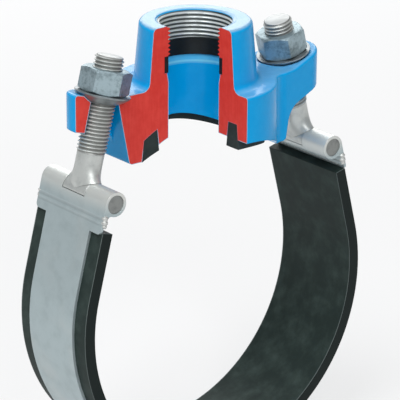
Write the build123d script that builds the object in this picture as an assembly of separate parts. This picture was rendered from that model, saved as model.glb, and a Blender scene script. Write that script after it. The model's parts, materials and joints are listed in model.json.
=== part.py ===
from build123d import *
import os
from math import asin, atan2, cos, hypot, pi, radians, sin, sqrt, tan

# Tapping saddle for a pipe: a coated cast saddle with a threaded outlet sits on top of the pipe and a
# rubber lined strap, drawn up by two T-bolts, goes round underneath.  Millimetres.
# Origin: where the pipe axis meets the outlet axis.  +Z up the outlet, +Y along the pipe, bolts at +-X.
# A quarter of the saddle and of its two seals is cut away, to show the inside.

# ---- pipe, lining and strap
pipe_d = 180.0            # outside diameter of the pipe the saddle clamps
lining_t = 6.3            # rubber lining between strap and pipe
lining_w = 58.0
strap_t = 1.6             # stainless sheet
strap_w = 38.5
head_w = 57.0             # strap's wide head at each end
head_len = 16.7           # from the pin's axis down to the step in width
head_corner_r = 2.5
tail_end = 13.2           # the rolled sheet's tail lies on the head down to here
tail_gap = 2.5            # from the tail's end down to the lining's end
eye_blend = 2.0           # between the rolled eye and its tail

# ---- T-bolts
stud_d = 16.0
stud_tilt = 14.4          # lean of the stud and of the strap's straight ends
stud_len = 73.0           # from the pin's axis to the stud's top
shank_step = 0.65         # the plain shank is this much smaller than the thread, on the radius
shank_len = 21.0          # from the pin's axis to the start of the thread
foot_rise = 0.3           # the stud's forked foot ends this far above the pin's axis
foot_flare = 1.85         # growth of the foot along the pin, on the radius
foot_flare_len = 9.0
stud_chamfer = 1.2
pin_d = 10.0              # cross pin in the strap's rolled eye
pin_recess = 0.5          # pin ends lie this far inside the eye
eye_clear = 0.06          # running clearance of the pin in the eye, on the radius
weld_clear = 0.05         # gap between the forked foot and the pin
window_clear = 0.7        # clearance of the strap's window round the stud's foot
window_drop = 1.0         # the window ends this far below the pin's axis

# ---- nuts and spherical washers, sized from the stud
nut_flats = 1.5 * stud_d
nut_h = 13.0
nut_clear = 0.06          # running clearance of the nut on the stud, on the radius
nut_stand = 6.9           # stud stands this far above the nut
nut_turn = (8.6, 31.1)    # how far the right and the left nut are turned on their studs
washer_d = 1.25 * nut_flats
washer_bore = stud_d + 1.0
washer_sphere_r = 22.0
washer_h = 5.0
washer_gap = 0.05         # between nut and washer
seat_clear = 0.2          # between the washer's sphere and the lug's cone
seat_angle = 60.0         # the cone's side, measured from the stud's axis
seat_lap = 0.8            # washer's edge overhangs the cone by this
spotface_lap = 1.0        # spotface is this much larger than the washer, on the radius

# ---- bore, thread, seal and gasket
thread_major_d = 41.91
thread_len = 16.6
mouth_chamfer = 1.0
bore_step = 0.45          # plain bore smaller than the thread, on the radius
seal_step = 0.1           # rubber ring's inside larger than the plain bore
seal_groove = 2.25        # ring's groove outside the thread
seal_h = 9.2
seal_clear = 0.1
ledge_step = 0.55         # eased ledge below the ring, outside the thread ...
ledge_h = 5.0             # ... runs in to the bore over this height
groove_wall = 8.2         # between the bore and the gasket's groove, at the groove's roof
groove_w = 7.1            # groove's width at its roof
groove_draft = 6.5        # degrees, opening towards the pipe
groove_depth = 8.5        # roof's crown above the arch's crown
groove_roof_r = 70.7
gasket_clear = 0.1

# ---- saddle casting; rises are measured from the top of the pipe
outlet_rise = 64.0
shoulder_rise = 30.5
arch_rise = 5.3           # crown of the arched underside
foot_clear = 0.4          # the feet stand this far off the pipe
boss_wall = 9.45          # outside the thread, at the outlet's mouth
boss_taper = 3.0          # growth of the boss's radius down to the shoulder
boss_rim_r = 2.8
boss_foot_fillet = 4.5
skirt_wall = 8.6          # outside the gasket's groove
lug_rise = 2.1            # lug's top above the shoulder, at the stud's axis
lug_t = 19.8
lug_overhang = 19.3       # lug's end beyond the stud's axis
lug_end_r = 15.8
lug_under_fillet = 12.0
shoulder_blend = 18.0
foot_back = 16.1          # end face's foot inside the stud's axis at the lug's top
foot_w = 8.0
foot_half_w = 21.5        # half width of the lug arm at the foot
end_lean = 11.3           # end face leans out going up
foot_round = 2.5
web_fillet = 10.0         # between skirt and lug
edge_round = 1.6
slot_clear = 0.9          # clearance of the lug's slot round the stud

# ---- the cut-away quarter
cut_x = -0.5              # the quarter with x below this ...
cut_y = -2.5              # ... and y below this is gone

# ---- derived: radii
pipe_r = pipe_d / 2
pin_r = pin_d / 2
stud_r = stud_d / 2
shank_r = stud_r - shank_step
foot_r = shank_r + foot_flare
slot_r = stud_r + slot_clear
washer_r = washer_d / 2
washer_bore_r = washer_bore / 2
spotface_r = washer_r + spotface_lap
seat_top_r = washer_r - seat_lap
thread_r = thread_major_d / 2
bore_r = thread_r - bore_step
seal_in_r = bore_r + seal_step
seal_out_r = thread_r + seal_groove
ledge_r = thread_r + ledge_step
boss_top_r = thread_r + boss_wall
boss_foot_r = boss_top_r + boss_taper
groove_in_r = bore_r + groove_wall
groove_out_r = groove_in_r + groove_w
skirt_r = groove_out_r + skirt_wall
eye_in_r = pin_r + eye_clear
eye_out_r = eye_in_r + strap_t
lining_out_r = pipe_r + lining_t
strap_out_r = lining_out_r + strap_t
axis_off = strap_out_r - eye_out_r                      # stud axis from the pipe axis
window_half_w = foot_r + window_clear

# ---- derived: heights above the pipe's axis
outlet_top = pipe_r + outlet_rise
thread_low = outlet_top - thread_len
seal_low = thread_low - seal_h
shoulder_z = pipe_r + shoulder_rise
arch_top = pipe_r + arch_rise
groove_top = arch_top + groove_depth

# ---- derived: places along the stud's axis, from the lug up and down
# The washer's sphere comes nearest the cone where their slopes agree.
lean = radians(stud_tilt)
lug_top_s = (shoulder_z + lug_rise - axis_off * sin(lean)) / cos(lean)
lug_low_s = lug_top_s - lug_t
seat_slope = radians(90 - seat_angle)
seat_low_s = lug_top_s - (seat_top_r - slot_r) * tan(seat_slope)
near_r = (washer_sphere_r + seat_clear) * sin(seat_slope)
near_s = lug_top_s - (seat_top_r - near_r) * tan(seat_slope)
sphere_s = near_s + (washer_sphere_r + seat_clear) * cos(seat_slope)
washer_low_s = sphere_s - sqrt(washer_sphere_r**2 - washer_bore_r**2)
washer_top_s = washer_low_s + washer_h
nut_low_s = washer_top_s + washer_gap
nut_top_s = nut_low_s + nut_h
stud_top_s = nut_top_s + nut_stand
pin_s = stud_top_s - stud_len
head_low_s = pin_s - head_len
tail_low_s = pin_s - tail_end
lining_end_s = tail_low_s - tail_gap

# ---- derived: places across the pipe
stud_x = axis_off * cos(lean) - lug_top_s * sin(lean)
lug_end_x = stud_x + lug_overhang
end_foot_x = stud_x - foot_back
foot_in_x = end_foot_x - foot_w
foot_z = sqrt((pipe_r + foot_clear) ** 2 - foot_in_x**2)
arch_r = (foot_in_x**2 + (arch_top - foot_z) ** 2) / (2 * (arch_top - foot_z))
far = 3 * pipe_d                                        # size of cutting blocks


def stud_point(side, s, off=0.0):
    """Point at height s along a stud's axis, off millimetres outward of it."""
    out = axis_off + off
    return Vector(side * (out * cos(lean) - s * sin(lean)), 0, out * sin(lean) + s * cos(lean))


def stud_plane(side, s):
    """Plane square to a stud's axis at height s, its x axis pointing outward."""
    outward = Vector(side * cos(lean), 0, sin(lean))
    up = Vector(-side * sin(lean), 0, cos(lean))
    return Plane(origin=stud_point(side, s), x_dir=outward, z_dir=up)


def stud_disc(side, s_low, s_high, r):
    """Cylinder on a stud's axis between two heights."""
    return extrude(stud_plane(side, s_low) * Circle(r), amount=s_high - s_low)


def turned(points):
    """Solid of revolution about the outlet's axis from (radius, height) points."""
    return revolve(Plane.XZ * make_face(Polyline(*points, close=True)), Axis.Z)


def turned_on_stud(side, points):
    """Solid of revolution about a stud's axis from (radius, height s) points."""
    return stud_plane(side, 0) * turned(points)


def slab(face, width):
    """Extrude a face drawn in the view along the pipe, half to each side."""
    return extrude(Plane.XZ * face, amount=width / 2, both=True)


def along_pipe(r, z, width):
    """Cylinder parallel to the pipe with its axis at height z."""
    return slab(Pos(0, z) * Circle(r), width)


def side_point(side, s, off):
    """The (x, z) pair of a stud frame's point, for sketches in the view along the pipe."""
    p = stud_point(side, s, off)
    return (p.X, p.Z)


def show_inside(solid):
    """Take the cut-away quarter off."""
    block = Pos(cut_x - far / 2, cut_y - far / 2, 0) * Box(far, far, far)
    return solid - block


def rounded(shape, places, r):
    """Shape with these corners or edges filleted, at half the radius or a quarter if r has no room."""
    for size in (r, r / 2, r / 4):
        try:
            return fillet(places, size)
        except ValueError:
            continue
    return shape


# ------------------------------------------------------------ saddle casting
def end_face_x(z):
    """Where the skirt's leaning end face is at height z."""
    return end_foot_x + (z - foot_z) * tan(radians(end_lean))


def plan_view():
    """Round skirt with two tapered lug arms, blended into it."""
    centre_x = lug_end_x - lug_end_r
    run = centre_x - end_foot_x
    slant = atan2(-foot_half_w, run) + asin(lug_end_r / hypot(run, foot_half_w))
    length = sqrt(run**2 + foot_half_w**2 - lug_end_r**2)
    touch_x = end_foot_x + length * cos(slant)      # arm's side touches its rounded end here
    touch_y = foot_half_w + length * sin(slant)
    outline = Rot(0, 0, 90) * Circle(skirt_r)
    for side in (-1, 1):
        arm = Polyline((0, -foot_half_w), (side * end_foot_x, -foot_half_w), (side * touch_x, -touch_y),
                       (side * touch_x, touch_y), (side * end_foot_x, foot_half_w), (0, foot_half_w),
                       close=True)
        end = Pos(side * centre_x, 0) * Rot(0, 0, 90 + 90 * side) * Circle(lug_end_r)
        outline += make_face(arm) + end
    corners = [v for v in outline.vertices() if abs(Vector(v).length - skirt_r) < 0.01 and abs(v.Y) > 1]
    return rounded(outline, corners, web_fillet)


def side_view():
    """Half of the casting seen along the pipe: foot, leaning end face, lug and shoulder."""
    lug_tan = tan(lean)
    end_tan = tan(radians(end_lean))
    over_x = lug_end_x + lug_end_r
    top = stud_point(1, lug_top_s)
    low = stud_point(1, lug_low_s)
    low_z = low.Z + (end_foot_x - low.X) * lug_tan      # lug's underside above the foot's edge
    under_z = low_z + (low_z - foot_z) * end_tan * lug_tan / (1 - lug_tan * end_tan)
    points = [
        (0, foot_z),
        (end_foot_x, foot_z),
        (end_face_x(under_z), under_z),
        (over_x, low.Z + (over_x - low.X) * lug_tan),
        (over_x, top.Z + (over_x - top.X) * lug_tan),
        (top.X + (shoulder_z - top.Z) / lug_tan, shoulder_z),
        (0, shoulder_z),
    ]
    face = make_face(Polyline(*points, close=True))
    rounds = ((points[1], foot_round), (points[2], lug_under_fillet), (points[5], shoulder_blend))
    for place, r in rounds:
        corner = [v for v in face.vertices() if abs(v.X - place[0]) + abs(v.Y - place[1]) < 0.01]
        face = rounded(face, corner, r)
    return face


def casting_blank():
    """Skirt and lugs in one, and the upper edges that are to be rounded."""
    half = side_view()
    whole = half + mirror(half, Plane.YZ)
    blank = slab(whole, 4 * skirt_r) & extrude(plan_view(), amount=2 * outlet_top)
    mid_z = stud_point(1, lug_top_s, lug_end_r).Z - lug_t / 2
    upper = []
    for edge in blank.edges():
        mid = edge @ 0.5
        run = edge.tangent_at(0.5)
        across = abs(run.Y) > 0.99 and abs(mid.X) < lug_end_x - 1
        upright = abs(run.Z) > 0.99
        if edge.length < 1 or across or upright:
            continue
        if mid.Z > mid_z:
            upper.append(edge)
    return blank, upper


def boss():
    """Outlet boss, tapered, with a rounded rim."""
    points = [(0, foot_z + foot_round), (boss_foot_r, foot_z + foot_round),
              (boss_foot_r, shoulder_z), (boss_top_r, outlet_top), (0, outlet_top)]
    solid = turned(points)
    rim = solid.edges().filter_by(GeomType.CIRCLE).sort_by(Axis.Z)[-1]
    return rounded(solid, rim, boss_rim_r)


def outlet_bore():
    """Threaded mouth, groove for the sealing ring, eased ledge and plain bore."""
    return turned([
        (0, foot_z - foot_round),
        (bore_r, foot_z - foot_round),
        (bore_r, seal_low - ledge_h),
        (ledge_r, seal_low),
        (seal_out_r, seal_low),
        (seal_out_r, thread_low),
        (thread_r, thread_low),
        (thread_r, outlet_top - mouth_chamfer),
        (thread_r + mouth_chamfer, outlet_top),
        (thread_r + mouth_chamfer, outlet_top + 1),
        (0, outlet_top + 1),
    ])


def gasket_ring(clear):
    """Tapered ring under an arched roof, clear millimetres smaller than the groove all round."""
    slope = tan(radians(groove_draft))
    low = pipe_r - pipe_r / 2
    drop = groove_top - low
    ring = turned([
        (groove_in_r - slope * drop + clear, low),
        (groove_out_r + slope * drop - clear, low),
        (groove_out_r - clear, groove_top),
        (groove_in_r + clear, groove_top),
    ])
    roof_r = groove_roof_r - clear
    return ring & along_pipe(roof_r, groove_top - groove_roof_r, 4 * skirt_r)


def lug_slot(side):
    """Open-bottomed slot that lets the stud lean and slide in."""
    plane = stud_plane(side, lug_low_s - lug_t)
    reach = Pos(-lug_t, 0) * Rectangle(2 * lug_t, 2 * slot_r)
    column = extrude(plane * (Circle(slot_r) + reach), amount=lug_top_s - lug_low_s + lug_t)
    top_z = shoulder_z + lug_t
    keep = Polyline((side * end_face_x(foot_z), foot_z), (side * end_face_x(top_z), top_z),
                    (side * far, top_z), (side * far, foot_z), close=True)
    bore = stud_disc(side, lug_low_s - lug_t, lug_top_s + 1, slot_r)
    return (column & slab(make_face(keep), 4 * slot_r)) + bore


def washer_seat(side):
    """Spotface and coned seat at the top of the lug."""
    cone = turned_on_stud(side, [(0, seat_low_s), (slot_r, seat_low_s), (seat_top_r, lug_top_s),
                                 (seat_top_r, lug_top_s + 1), (0, lug_top_s + 1)])
    return stud_disc(side, lug_top_s, lug_top_s + lug_t, spotface_r) + cone


def saddle_body():
    """Complete casting with its quarter cut away."""
    blank, upper = casting_blank()
    blank = rounded(blank, upper, edge_round)
    solid = blank + boss()
    foot = [e for e in solid.edges().filter_by(GeomType.CIRCLE)
            if abs(e.radius - boss_foot_r) < 0.01 and abs((e @ 0.5).Z - shoulder_z) < 0.01]
    solid = rounded(solid, foot, boss_foot_fillet)
    solid -= outlet_bore()
    solid -= along_pipe(arch_r, arch_top - arch_r, 4 * skirt_r)
    solid -= gasket_ring(0.0)
    for side in (-1, 1):
        solid -= lug_slot(side)
        solid -= washer_seat(side)
    return show_inside(solid)


def saddle_gasket():
    """Rubber gasket in the underside's groove, shaped to the pipe."""
    solid = gasket_ring(gasket_clear)
    solid -= along_pipe(pipe_r, 0, 4 * skirt_r)
    return show_inside(solid)


def outlet_seal_ring():
    """Rubber ring below the outlet's thread."""
    outer = seal_out_r - seal_clear
    low = seal_low + seal_clear
    top = thread_low - seal_clear
    solid = turned([(seal_in_r, low), (outer, low), (outer, top), (seal_in_r, top)])
    return show_inside(solid)


# ------------------------------------------------------------ strap and lining
def wrap_profile(r_in, r_out, reach):
    """Band round the pipe's lower side, running on straight at both ends up to height reach."""
    lift = far * tan(lean)
    above = make_face(Polyline((0, 0), (far, lift), (far, far), (-far, far), (-far, lift), close=True))
    face = Circle(r_out) - Circle(r_in) - above
    for side in (-1, 1):
        ends = [side_point(side, s, r - axis_off)
                for s, r in ((0, r_in), (0, r_out), (reach, r_out), (reach, r_in))]
        face += make_face(Polyline(*ends, close=True))
    return face


def strap_eye(side):
    """Rolled eye with its tail laid on the head, cut open in the middle for the stud."""
    plane = Plane(origin=stud_point(side, pin_s), x_dir=(side * cos(lean), 0, sin(lean)),
                  z_dir=(0, -side, 0))
    sheet = make_face(Polyline((eye_in_r, 0), (eye_out_r, 0), (eye_out_r, -tail_end),
                               (eye_in_r - strap_t, -tail_end), (eye_in_r - strap_t, 0), close=True))
    face = Circle(eye_out_r) + sheet
    nook = [v for v in face.vertices()
            if abs(v.X - eye_in_r + strap_t) < 0.01 and -tail_end + 0.1 < v.Y < 0]
    face = rounded(face, nook, eye_blend) - Circle(eye_in_r)
    solid = extrude(plane * face, amount=head_w / 2, both=True)
    window = Box(4 * eye_out_r, 2 * window_half_w, 4 * eye_out_r)
    return solid - stud_plane(side, pin_s - window_drop + 2 * eye_out_r) * window


def strap():
    """Stainless band with a wide head and a rolled eye at each end."""
    solid = slab(wrap_profile(lining_out_r, strap_out_r, head_low_s + head_corner_r), strap_w)
    for side in (-1, 1):
        plane = Plane(origin=stud_point(side, 0, eye_in_r), x_dir=(0, 1, 0),
                      z_dir=(side * cos(lean), 0, sin(lean)))
        up = side * (pin_s + head_low_s) / 2
        sheet = Pos(0, up) * Rectangle(head_w, pin_s - head_low_s)
        lower = [v for v in sheet.vertices() if abs(abs(v.Y) - head_low_s) < 0.01]
        sheet = fillet(lower, head_corner_r)
        sheet -= Pos(0, side * (pin_s - window_drop + eye_out_r)) * Rectangle(2 * window_half_w, 2 * eye_out_r)
        solid += extrude(plane * sheet, amount=strap_t)
        solid += strap_eye(side)
    return solid


def strap_lining():
    """Rubber lining between strap and pipe."""
    return slab(wrap_profile(pipe_r, lining_out_r, lining_end_s), lining_w)


# ------------------------------------------------------------ T-bolts
def cross_bar(side):
    """Pin in the strap's eye."""
    plane = Plane(origin=stud_point(side, pin_s), z_dir=(0, 1, 0))
    return extrude(plane * Circle(pin_r), amount=head_w / 2 - pin_recess, both=True)


def stud(side):
    """Stud standing astride its pin, with a plain shank and a threaded upper part."""
    start = pin_s + shank_len
    step = stud_r - shank_r
    solid = turned_on_stud(side, [
        (0, pin_s + foot_rise), (shank_r, pin_s + foot_rise), (shank_r, start), (stud_r, start + step),
        (stud_r, stud_top_s - stud_chamfer), (stud_r - stud_chamfer, stud_top_s), (0, stud_top_s)])
    flare = turned_on_stud(side, [(0, pin_s + foot_rise), (foot_r, pin_s + foot_rise),
                                  (shank_r, pin_s + foot_flare_len), (0, pin_s + foot_flare_len)])
    flats = stud_plane(side, pin_s) * Box(2 * shank_r, 4 * foot_r, 4 * foot_flare_len)
    solid += flare & flats
    plane = Plane(origin=stud_point(side, pin_s), z_dir=(0, 1, 0))
    return solid - extrude(plane * Circle(pin_r + weld_clear), amount=2 * foot_r, both=True)


def nut(side):
    """Hexagon nut, chamfered on both faces."""
    turn = nut_turn[0] if side > 0 else -nut_turn[1]
    outline = Rot(0, 0, turn) * RegularPolygon(nut_flats / 2, 6, major_radius=False)
    hexagon = extrude(stud_plane(side, nut_low_s) * outline, amount=nut_h)
    corner_r = nut_flats / 2 / cos(pi / 6)
    face_r = 0.97 * nut_flats / 2
    drop = (corner_r + 1 - face_r) * tan(pi / 6)
    envelope = turned_on_stud(side, [
        (0, nut_low_s), (face_r, nut_low_s), (corner_r + 1, nut_low_s + drop),
        (corner_r + 1, nut_top_s - drop), (face_r, nut_top_s), (0, nut_top_s)])
    return (hexagon & envelope) - stud_disc(side, nut_low_s - 1, nut_top_s + 1, stud_r + nut_clear)


def washer(side):
    """Washer, flat above and spherical below, so the nut beds square on the lug."""
    ball = Pos(stud_point(side, sphere_s)) * Sphere(washer_sphere_r)
    disc = stud_disc(side, washer_low_s, washer_top_s, washer_r)
    return (disc & ball) - stud_disc(side, washer_low_s - 1, washer_top_s + 1, washer_bore_r)


def main():
    """Build every piece and write one STEP file for each."""
    os.makedirs("parts", exist_ok=True)
    nodes = {
        "saddle_body": saddle_body(),
        "saddle_gasket": saddle_gasket(),
        "outlet_seal_ring": outlet_seal_ring(),
        "strap": strap(),
        "strap_lining": strap_lining(),
    }
    for side, hand in ((-1, "left"), (1, "right")):
        nodes[hand + "_cross_bar"] = cross_bar(side)
        nodes[hand + "_stud"] = stud(side)
        nodes[hand + "_washer"] = washer(side)
        nodes[hand + "_nut"] = nut(side)
    for name, solid in nodes.items():
        print(name, round(solid.volume), len(solid.solids()), solid.is_valid)
        export_step(solid, "parts/" + name + ".step")


main()
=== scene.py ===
import json
import logging
import math
from dataclasses import dataclass
from enum import Enum
from typing import Optional, Sequence, Union

import bmesh
import bpy
import numpy as np
from mathutils import Matrix, Vector


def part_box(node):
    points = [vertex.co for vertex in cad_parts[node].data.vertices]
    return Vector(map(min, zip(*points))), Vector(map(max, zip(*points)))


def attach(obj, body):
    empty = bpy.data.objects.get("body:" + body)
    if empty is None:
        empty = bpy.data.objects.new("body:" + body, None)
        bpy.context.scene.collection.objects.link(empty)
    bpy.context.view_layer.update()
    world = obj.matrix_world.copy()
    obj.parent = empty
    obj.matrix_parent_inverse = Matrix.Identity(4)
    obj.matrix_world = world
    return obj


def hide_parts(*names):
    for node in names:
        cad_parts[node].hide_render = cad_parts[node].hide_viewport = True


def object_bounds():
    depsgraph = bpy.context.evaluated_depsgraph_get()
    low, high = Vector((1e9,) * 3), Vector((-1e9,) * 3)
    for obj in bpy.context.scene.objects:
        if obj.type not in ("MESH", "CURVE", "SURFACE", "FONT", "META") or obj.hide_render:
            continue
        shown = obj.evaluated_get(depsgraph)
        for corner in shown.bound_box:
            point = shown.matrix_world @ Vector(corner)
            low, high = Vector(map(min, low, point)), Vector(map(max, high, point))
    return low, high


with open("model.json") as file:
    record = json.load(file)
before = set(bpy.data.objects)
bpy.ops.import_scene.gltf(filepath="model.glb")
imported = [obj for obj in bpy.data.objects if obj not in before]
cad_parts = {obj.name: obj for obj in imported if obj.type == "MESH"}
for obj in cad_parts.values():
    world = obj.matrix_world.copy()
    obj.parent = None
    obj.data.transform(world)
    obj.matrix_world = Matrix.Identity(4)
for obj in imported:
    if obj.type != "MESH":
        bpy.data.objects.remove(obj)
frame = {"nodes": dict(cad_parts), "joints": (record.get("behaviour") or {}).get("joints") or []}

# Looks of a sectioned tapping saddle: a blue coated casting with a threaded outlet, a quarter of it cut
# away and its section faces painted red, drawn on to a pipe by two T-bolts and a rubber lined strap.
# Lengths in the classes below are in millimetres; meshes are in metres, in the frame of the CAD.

MM = 0.001
TURN = 2.0 * math.pi
LOG = logging.getLogger("tapping_saddle")
CAD_BOX = [[float(v) for v in corner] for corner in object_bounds()]

Number = Union[int, float]
Colour = tuple[float, float, float]


class Hand(Enum):
    """Which of the two T-bolts a piece belongs to; the value is the sign of its X."""

    LEFT = -1
    RIGHT = 1

    @property
    def word(self) -> str:
        """Name used in the nodes and joints of this side."""
        return self.name.lower()


# ------------------------------------------------------------------ shader expressions
class Value:
    """One number socket of a material, on which ordinary arithmetic adds Math nodes."""

    def __init__(self, graph: "Graph", socket: bpy.types.NodeSocket) -> None:
        """Keep the graph that the socket belongs to."""
        self.graph = graph
        self.socket = socket

    def _math(self, operation: str, first: "Operand", second: "Operand") -> "Value":
        """Add one Math node and return its result."""
        node = self.graph.node("ShaderNodeMath", {"operation": operation}, {0: first, 1: second})
        return Value(self.graph, node.outputs[0])

    def __add__(self, other: "Operand") -> "Value":
        """Sum."""
        return self._math("ADD", self, other)

    __radd__ = __add__

    def __mul__(self, other: "Operand") -> "Value":
        """Product."""
        return self._math("MULTIPLY", self, other)

    __rmul__ = __mul__

    def __sub__(self, other: "Operand") -> "Value":
        """Difference."""
        return self._math("SUBTRACT", self, other)

    def __rsub__(self, other: "Operand") -> "Value":
        """Reflected difference, so that 1 - mask works."""
        return self._math("SUBTRACT", other, self)

    def __abs__(self) -> "Value":
        """Size without sign."""
        return self._math("ABSOLUTE", self, 0.0)

    def larger(self, other: "Operand") -> "Value":
        """Larger of the two."""
        return self._math("MAXIMUM", self, other)

    def step(self, start: Number, end: Number) -> "Value":
        """Rise smoothly between two values.

        Args:
            start: value at which the result is 0; it may be the larger of the two.
            end: value at which the result is 1.

        Returns:
            The smooth step, held at 0 and 1 outside the two values.
        """
        node = self.graph.node(
            "ShaderNodeMapRange",
            {"interpolation_type": "SMOOTHSTEP"},
            {"Value": self, "From Min": start, "From Max": end, "To Min": 0.0, "To Max": 1.0},
        )
        return Value(self.graph, node.outputs["Result"])

    def step_mm(self, start: float, end: float) -> "Value":
        """Take the step of a length in metres, between two lengths in millimetres."""
        return self.step(start * MM, end * MM)

    def step_radius(self, start: float, end: float) -> "Value":
        """Take the step of a squared radius in metres, between two radii in millimetres."""
        return self.step((start * MM) ** 2, (end * MM) ** 2)


Operand = Union[Value, Number]


class Graph:
    """Node graph of one material, with a Principled shader at its end."""

    def __init__(self, name: str) -> None:
        """Start an empty material.

        Args:
            name: the material's name.
        """
        self.material = bpy.data.materials.new(name)
        self.material.use_nodes = True
        self.tree = self.material.node_tree
        self.tree.nodes.clear()
        self.coordinates = self.node("ShaderNodeTexCoord", {}, {}).outputs["Object"]

    def node(self, kind: str, settings: dict, inputs: dict) -> bpy.types.Node:
        """Add any node.

        Args:
            kind: the node's type name.
            settings: properties that are set before the sockets.
            inputs: socket name or index, to a value, colour, socket or Value.

        Returns:
            The new node.
        """
        new = self.tree.nodes.new(kind)
        for key, value in settings.items():
            setattr(new, key, value)
        for key, value in inputs.items():
            if isinstance(value, Value):
                value = value.socket
            if isinstance(value, bpy.types.NodeSocket):
                self.tree.links.new(value, new.inputs[key])
            else:
                new.inputs[key].default_value = value
        return new

    def noise(self, size_mm: float, detail: float = 2.0, rough: float = 0.5) -> Value:
        """Make a cloudy pattern.

        Args:
            size_mm: how far across its patches are, about.
            detail: how many finer patterns are laid over it.
            rough: how strong each of those is beside the one before.

        Returns:
            The pattern, from 0 to 1.
        """
        node = self.node(
            "ShaderNodeTexNoise",
            {},
            {"Vector": self.coordinates, "Scale": 1.0 / (size_mm * MM), "Detail": detail, "Roughness": rough},
        )
        return Value(self, node.outputs["Fac"])

    def stretched(self, scale: Sequence[float], size_mm: float) -> Value:
        """Make a pattern that is pulled out along an axis.

        Args:
            scale: what X, Y and Z are multiplied by first.
            size_mm: how far across its patches are where that is 1.

        Returns:
            The pattern, from 0 to 1.
        """
        mapped = self.node("ShaderNodeMapping", {}, {"Vector": self.coordinates, "Scale": scale})
        node = self.node(
            "ShaderNodeTexNoise",
            {},
            {"Vector": mapped.outputs[0], "Scale": 1.0 / (size_mm * MM), "Detail": 3.0},
        )
        return Value(self, node.outputs["Fac"])

    def place(self) -> tuple[Value, Value, Value]:
        """X, Y and Z of the surface point, in metres."""
        node = self.node("ShaderNodeSeparateXYZ", {}, {0: self.coordinates})
        return tuple(Value(self, out) for out in node.outputs)

    def facing(self) -> tuple[Value, Value, Value]:
        """Split the surface's normal.

        Returns:
            X, Y and Z of the outward normal.
        """
        geometry = self.node("ShaderNodeNewGeometry", {}, {})
        node = self.node("ShaderNodeSeparateXYZ", {}, {0: geometry.outputs["Normal"]})
        return tuple(Value(self, out) for out in node.outputs)

    def mix(self, first: "Paint", second: "Paint", share: Operand) -> bpy.types.NodeSocket:
        """Colour that goes from first to second as share goes from 0 to 1."""
        inputs = {0: share, 6: solid(first), 7: solid(second)}
        return self.node("ShaderNodeMix", {"data_type": "RGBA"}, inputs).outputs[2]

    def bump(
        self, height: Value, depth_mm: float, strength: float, normal: Optional[bpy.types.NodeSocket] = None
    ) -> bpy.types.NodeSocket:
        """Raise the look of a surface.

        Args:
            height: pattern from 0 to 1.
            depth_mm: how far the surface rises from 0 to 1.
            strength: share of that which is shown.
            normal: normal of the surface underneath, unless it is the plain one.

        Returns:
            The normal of the raised surface.
        """
        inputs = {"Height": height, "Strength": strength, "Distance": depth_mm * MM}
        if normal is not None:
            inputs["Normal"] = normal
        return self.node("ShaderNodeBump", {}, inputs).outputs["Normal"]

    def soft_edges(self, radius_mm: float) -> bpy.types.NodeSocket:
        """Normal that rounds the look of sharp edges."""
        return self.node("ShaderNodeBevel", {"samples": 4}, {"Radius": radius_mm * MM}).outputs["Normal"]

    def finish(self, **sockets: object) -> bpy.types.Material:
        """Close the graph with a Principled shader.

        Args:
            sockets: the shader's sockets by name, with underscores for spaces.

        Returns:
            The finished material.
        """
        inputs = {key.replace("_", " "): value for key, value in sockets.items()}
        inputs["Base Color"] = solid(inputs["Base Color"])
        shader = self.node("ShaderNodeBsdfPrincipled", {}, inputs)
        self.node("ShaderNodeOutputMaterial", {}, {"Surface": shader.outputs[0]})
        return self.material


Paint = Union[Colour, bpy.types.NodeSocket]


def solid(paint: Paint) -> object:
    """Give a plain colour its alpha, and leave a socket alone."""
    return (*paint, 1.0) if isinstance(paint, tuple) else paint


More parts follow.
